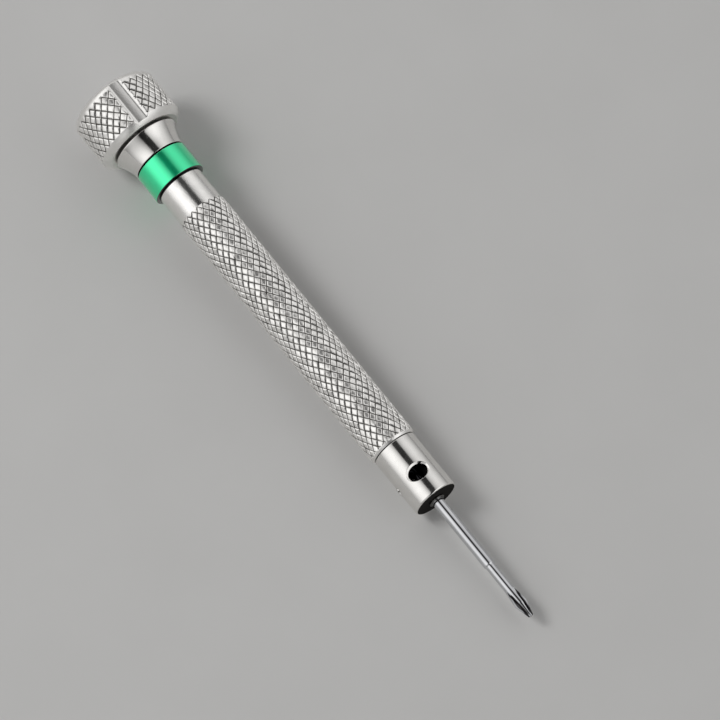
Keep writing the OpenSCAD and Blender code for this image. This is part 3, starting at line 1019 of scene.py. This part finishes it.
class Surface(Nodes):
    """A material in the tool's own space."""

    def __init__(self, name):
        self.material = bpy.data.materials.new(name)
        super().__init__(self.material)
        self.shader = self.add("ShaderNodeBsdfPrincipled")
        out = self.add("ShaderNodeOutputMaterial")
        self.put(out.inputs["Surface"], self.shader.outputs[0])
        place = self.add("ShaderNodeMapping")
        self.put(place.inputs["Vector"], self.add("ShaderNodeTexCoord").outputs["Object"])
        place.inputs["Location"].default_value = TO_TOOL.translation
        place.inputs["Rotation"].default_value = TO_TOOL.to_euler()
        self.point = place.outputs[0]

    def stretched(self, scale):
        """The point in the tool's space, with each axis scaled."""
        node = self.add("ShaderNodeMapping")
        self.put(node.inputs["Vector"], self.point)
        node.inputs["Scale"].default_value = scale
        return node.outputs[0]

    def noise(self, scale, detail, roughness=0.5, vector=None):
        """Noise between 0 and 1."""
        node = self.add("ShaderNodeTexNoise")
        self.put(node.inputs["Vector"], vector or self.point)
        node.inputs["Scale"].default_value = scale
        node.inputs["Detail"].default_value = detail
        node.inputs["Roughness"].default_value = roughness
        return node.outputs["Fac"]

    def mix(self, share, first, second):
        """The first colour where the share is 0, the second where it is 1."""
        node = self.add("ShaderNodeMix", data_type="RGBA")
        self.put(node.inputs["Factor"], share)
        self.put(node.inputs["A"], first)
        self.put(node.inputs["B"], second)
        return node.outputs["Result"]

    def radius(self):
        """Distance from the tool's axis, in metres."""
        parts = self.axes(self.point)
        squares = [self.product(parts[key], parts[key]) for key in ("Y", "Z")]
        return self.math("SQRT", self.math("ADD", *squares))

    def station(self):
        """Place along the tool's axis, in metres."""
        return self.axes(self.point)["X"]

    def after(self, start):
        """1 from a station in millimetres on."""
        return self.math("GREATER_THAN", self.station(), start * MM)

    def between(self, start, end):
        """1 between two stations in millimetres."""
        return self.product(self.after(start), self.math("LESS_THAN", self.station(), end * MM))

    def below(self, low, high):
        """1 nearer to the axis than low and 0 beyond high, in millimetres."""
        return self.ramp(self.radius(), low * MM, high * MM, 1, 0)

    def shadow_grooves(self):
        """1 inside the two shadow grooves beside the colour ring."""
        low = self.below(RING_R - SHADOW_BOTTOM, RING_R - SHADOW_TOP)
        masks = [
            self.between(start - SHADOW_OVER, start + GROOVE_W + SHADOW_OVER)
            for start in (RING_START - GROOVE_W, RING_END)
        ]
        return self.product(low, self.math("ADD", *masks), clamp=True)

    def bump(self, height, distance):
        """Small relief."""
        node = self.add("ShaderNodeBump")
        node.inputs["Strength"].default_value = 1.0
        node.inputs["Distance"].default_value = distance
        self.put(node.inputs["Height"], height)
        self.put(self.shader.inputs["Normal"], node.outputs[0])

    def turned_lines(self):
        """Fine rings round the axis, as a lathe or a grinder leaves."""
        self.bump(self.noise(*LATHE_LINES, self.stretched(LATHE_WAVES)), LATHE_BUMP)

    def finish(self, tone, rough, metallic=1.0):
        """Sets the shader's colour, roughness and share of metal."""
        self.put(self.shader.inputs["Base Color"], tone)
        self.put(self.shader.inputs["Roughness"], rough)
        self.put(self.shader.inputs["Metallic"], metallic)
        return self.material


def clouded(m, finish):
    """Cloudy tone and uneven roughness of a finish."""
    light, dark, least, greatest = finish
    tone = m.mix(m.ramp(m.noise(*CLOUD), *NARROW), dark, light)
    return tone, m.ramp(m.noise(*GLOSS), *WIDE, least, greatest)


def metal(name, finish):
    """A plain metal."""
    m = Surface(name)
    return m.finish(*clouded(m, finish))


def satin_nickel():
    """Polished nickel, with painted shade in the grooves beside the ring, in the seam, inside the nose and on the
    nose's end face and lip.
    """
    m = Surface("satin_nickel")
    tone, rough = clouded(m, NICKEL)
    m.turned_lines()
    tone = m.mix(m.shadow_grooves(), tone, SHADOW_TONE)
    # Painted shade in the seam groove at the nose's rear
    deep = m.below(NOSE_R - SEAM_H, NOSE_R - SEAM_H / 2)
    tone = m.mix(m.product(deep, m.between(NOSE_START, NOSE_START + SEAM_REACH)), tone, SEAM_SHADE_TONE)
    # Painted shade on the nose's end face, which is also made dull and not metal
    face = m.after(NOSE_END - FACE_MARGIN)
    lip = m.math("LESS_THAN", m.radius(), LIP_D / 2 * LIP_MARGIN * MM)
    painted_dark_face = m.product(face, m.rest(lip))
    # Painted shade on the lip round the blade
    tone = m.mix(m.product(face, lip), tone, LIP_SHADE_TONE)
    tone = m.mix(painted_dark_face, tone, FACE_SHADE_TONE)
    # Painted shade inside the nose, down its hollow, so that the window shows dark
    deep = m.below(NOSE_R - INSIDE_BOTTOM, NOSE_R - INSIDE_TOP)
    tone = m.mix(m.product(deep, m.between(NOSE_START, NOSE_END - INSIDE_FRONT)), tone, INSIDE_SHADE_TONE)
    m.shader.inputs["IOR"].default_value = FACE_IOR
    rough = m.math("MAXIMUM", rough, m.product(painted_dark_face, FACE_ROUGH))
    return m.finish(tone, rough, m.rest(painted_dark_face))


def blade_steel():
    """Ground steel, with painted shade on its tail, which lies hidden in the nose, and in the flutes at the tip.
    """
    m = Surface("blade_steel")
    tone, rough = clouded(m, GROUND_STEEL)
    m.turned_lines()
    swell_r, wing_r, point_r = FRONT_D / 2, WING_D / 2, POINT_D / 2
    # Painted shade deep in the tip's flutes
    rising = m.ramp(m.station(), SWELL_X * MM, WING_X * MM, swell_r * MM, wing_r * MM)
    falling = m.ramp(m.station(), WING_X * MM, TIP_END * MM, 0, (wing_r - point_r) * MM)
    sunk = m.math("SUBTRACT", m.math("SUBTRACT", rising, falling), m.radius())
    flute = m.product(m.ramp(sunk, FLUTE_EDGE * MM, FLUTE_DEEP * MM), m.after(SWELL_X))
    tone = m.mix(flute, tone, FLUTE_SHADE_TONE)
    # Painted shade on the blade's tail, where it lies hidden in the nose
    tail_end = WINDOW_X + GRUB_D
    tail = m.ramp(m.station(), tail_end * MM, (tail_end + TAIL_FADE) * MM, 1, 0)
    return m.finish(m.mix(tail, tone, TAIL_SHADE_TONE), rough)


def knurled_nickel():
    """Nickel over a knurl: bright pads, with painted shade and more roughness deep in the grooves. The barrel's
    neck is glossier.
    """
    light, dark, least, greatest = KNURLED
    m = Surface("knurled_nickel")
    groove = m.add("ShaderNodeAttribute", attribute_name="groove").outputs["Fac"]
    # Painted shade deep in the knurl's grooves
    depth = m.ramp(groove, GROOVE_EDGE, GROOVE_DEEP)
    tone = m.mix(m.ramp(m.noise(*KNURL_CLOUD), *WIDE), dark, light)
    tone = m.mix(m.shadow_grooves(), tone, SHADOW_TONE)
    neck = m.between(RING_END, KNURL_START)
    rough = m.math("SUBTRACT", m.ramp(depth, 0, 1, least, greatest), m.product(neck, NECK_GLOSS))
    m.bump(m.noise(*KNURL_GRAIN), KNURL_BUMP)
    return m.finish(m.mix(depth, tone, GROOVE_SHADE_TONE), rough)


def green_anodised():
    """Deep glossy green with fine rings, and painted shade on the ring's two end faces."""
    light, dark, least, greatest = GREEN
    m = Surface("green_anodised")
    cloud = m.noise(*GREEN_CLOUD)
    m.shader.inputs["Coat Weight"].default_value = 1.0
    m.shader.inputs["Coat Roughness"].default_value = GREEN_COAT_ROUGH
    m.shader.inputs["Coat IOR"].default_value = GREEN_COAT_IOR
    m.bump(m.noise(*GREEN_LINES, m.stretched(GREEN_WAVES)), GREEN_BUMP)
    # Painted shade on the ring's two end faces
    ends = m.rest(m.between(RING_START + RING_FACE, RING_END - RING_FACE))
    tone = m.mix(ends, m.mix(cloud, dark, light), RING_END_SHADE_TONE)
    return m.finish(tone, m.ramp(cloud, *WIDE, least, greatest))


def pale_floor():
    """Dull pale board."""
    m = Surface("pale_floor")
    return m.finish(m.mix(m.noise(*FLOOR_GRAIN), FLOOR_DARK, FLOOR_LIGHT), FLOOR_ROUGH, 0.0)


def add_camera():
    """The photograph's camera."""
    azimuth, elevation = radians(CAMERA_AZIMUTH), radians(CAMERA_ELEVATION)
    back = Vector((sin(azimuth) * cos(elevation), -cos(azimuth) * cos(elevation), sin(elevation)))
    right = Vector((cos(azimuth), sin(azimuth), 0))
    up = back.cross(right)
    middle = PICTURE_PIXELS / 2
    scale = CAMERA_DISTANCE / FOCAL_PIXELS
    target = right * (middle - ORIGIN_X_PIXEL) * scale + up * (ORIGIN_Y_PIXEL - middle) * scale
    data = bpy.data.cameras.new("camera")
    data.sensor_width = SENSOR_MM
    data.lens = SENSOR_MM * FOCAL_PIXELS / PICTURE_PIXELS
    data.clip_start, data.clip_end = CLIP_START, CLIP_END
    camera = bpy.data.objects.new("camera", data)
    bpy.context.scene.collection.objects.link(camera)
    place = back * CAMERA_DISTANCE
    z = (place - target).normalized()
    x = up.cross(z).normalized()
    matrix = Matrix((x, z.cross(x), z)).transposed().to_4x4()
    matrix.translation = place
    camera.matrix_world = matrix
    bpy.context.scene.camera = camera


def add_floor():
    """A board under the tool, a hair lower than its resting points."""
    bm = bmesh.new()
    bmesh.ops.create_grid(bm, x_segments=FLOOR_CELLS, y_segments=FLOOR_CELLS, size=FLOOR_REACH)
    mesh = finished(bm, "floor")
    mesh.materials.append(pale_floor())
    floor = bpy.data.objects.new("floor", mesh)
    bpy.context.scene.collection.objects.link(floor)
    floor.location.z = FLOOR_Z


def add_dome():
    """A studio dome: two soft bright banks beside the tool and a dark gap overhead."""
    world = bpy.data.worlds.new("studio")
    bpy.context.scene.world = world
    m = Nodes(world)
    sky = m.axes(m.add("ShaderNodeTexCoord").outputs["Generated"])
    from_pivot = m.math("ADD", sky["X"], m.product(sky["Z"], GAP_PIVOT))
    across = m.math("ADD", sky["Y"], m.product(from_pivot, GAP_YAW))
    turn = m.math("ARCTAN2", m.product(across, -1), sky["Z"])
    curve = m.add("ShaderNodeValToRGB")
    curve.color_ramp.interpolation = "LINEAR"
    elements = curve.color_ramp.elements
    for k, (angle, level) in enumerate(DOME):
        where = angle / 180 + 0.5
        element = elements[k] if k < 2 else elements.new(where)
        element.position = where
        element.color = rgb(*[level / DOME_TOP] * 3)
    m.put(curve.inputs["Fac"], m.math("ADD", m.math("DIVIDE", turn, pi), 0.5))
    ahead = m.ramp(sky["X"], 0.0, LEAN_REACH)
    left = m.ramp(sky["Y"], -SIDE_SOFT, SIDE_SOFT)
    bank = m.math("ADD", m.product(left, DOME_RISE), m.product(m.rest(left), -DOME_FADE))
    level = m.product(curve.outputs["Color"], m.math("ADD", 1, m.product(ahead, bank)))
    behind = m.ramp(sky["X"], GAP_REAR - REAR_SOFT, GAP_REAR + REAR_SOFT, 1, 0)
    front = m.ramp(sky["X"], GAP_FRONT - FRONT_SOFT, GAP_FRONT + FRONT_SOFT)
    beside = m.ramp(m.math("ABSOLUTE", across), GAP_FRONT_HALF - GAP_SOFT, GAP_FRONT_HALF + GAP_SOFT)
    filled = m.math("MAXIMUM", behind, m.product(front, beside))
    level = m.math("MAXIMUM", level, m.product(filled, GAP_LEVEL / DOME_TOP))
    slit = m.product(front, m.rest(beside))
    level = m.product(level, m.rest(m.product(slit, SLIT_LOSS)))
    diffuse = m.add("ShaderNodeLightPath").outputs["Is Diffuse Ray"]
    level = m.product(level, m.rest(m.product(diffuse, DIFFUSE_LOSS)))
    lit = m.add("ShaderNodeBackground")
    lit.inputs["Color"].default_value = rgb(1.0, 1.0, 1.0)
    m.put(lit.inputs["Strength"], m.product(level, DOME_TOP))
    plain = m.add("ShaderNodeBackground")
    plain.inputs["Color"].default_value = BACKDROP
    seen = m.add("ShaderNodeMixShader")
    m.put(seen.inputs["Fac"], m.add("ShaderNodeLightPath").outputs["Is Camera Ray"])
    m.put(seen.inputs[1], lit.outputs[0])
    m.put(seen.inputs[2], plain.outputs[0])
    m.put(m.add("ShaderNodeOutputWorld").inputs["Surface"], seen.outputs[0])


def add_key_light():
    """A square lamp that faces the tool and isn't seen in reflections."""
    data = bpy.data.lights.new("key_box", "AREA")
    data.shape = "RECTANGLE"
    data.size, data.size_y = KEY_SIZE, KEY_SIZE
    data.energy = KEY_RADIANCE * KEY_SIZE ** 2 * pi
    lamp = bpy.data.objects.new("key_box", data)
    bpy.context.scene.collection.objects.link(lamp)
    way = Vector(KEY_WAY).normalized()
    lamp.location = way * KEY_DISTANCE
    lamp.rotation_mode = "QUATERNION"
    lamp.rotation_quaternion = way.to_track_quat("Z", "Y")
    lamp.visible_glossy = False


def dress_inner_nodes():
    """Fine procedural finishes for the bearing and the fasteners inside."""
    steel = metal("bearing_steel", BEARING_STEEL)
    zinc = metal("zinc_steel", ZINC_STEEL)
    spring = metal("spring_steel", SPRING_STEEL)
    brass = metal("brass_cage", BRASS)
    finish = {
        "bearing_clip": spring, "bearing_cage": brass, "bearing_washer": zinc, "bearing_screw": zinc,
        "bearing_shield_rear": zinc, "bearing_shield_front": zinc,
        "bearing_outer_ring": steel, "bearing_inner_ring": steel,
    }
    for name, node in frame["nodes"].items():
        material = finish.get(name, steel if name.startswith("bearing_ball") else None)
        if material:
            for slot in node.material_slots:
                slot.material = material


def main():
    """Builds the stage and the pieces."""
    clear_scene_extras()
    add_camera()
    add_floor()
    add_dome()
    add_key_light()
    nickel = satin_nickel()
    steel = blade_steel()
    zinc = metal("screw_steel", PLATED_STEEL)
    knurled = knurled_nickel()
    handle_barrel(knurled)
    swivel_cap(knurled)
    cap_disc(nickel)
    flared_neck(nickel)
    colour_ring(green_anodised())
    nose_collar(nickel)
    blade_screw(zinc)
    blade(steel)
    dress_inner_nodes()
    bpy.context.scene.view_settings.view_transform = "Standard"


main()
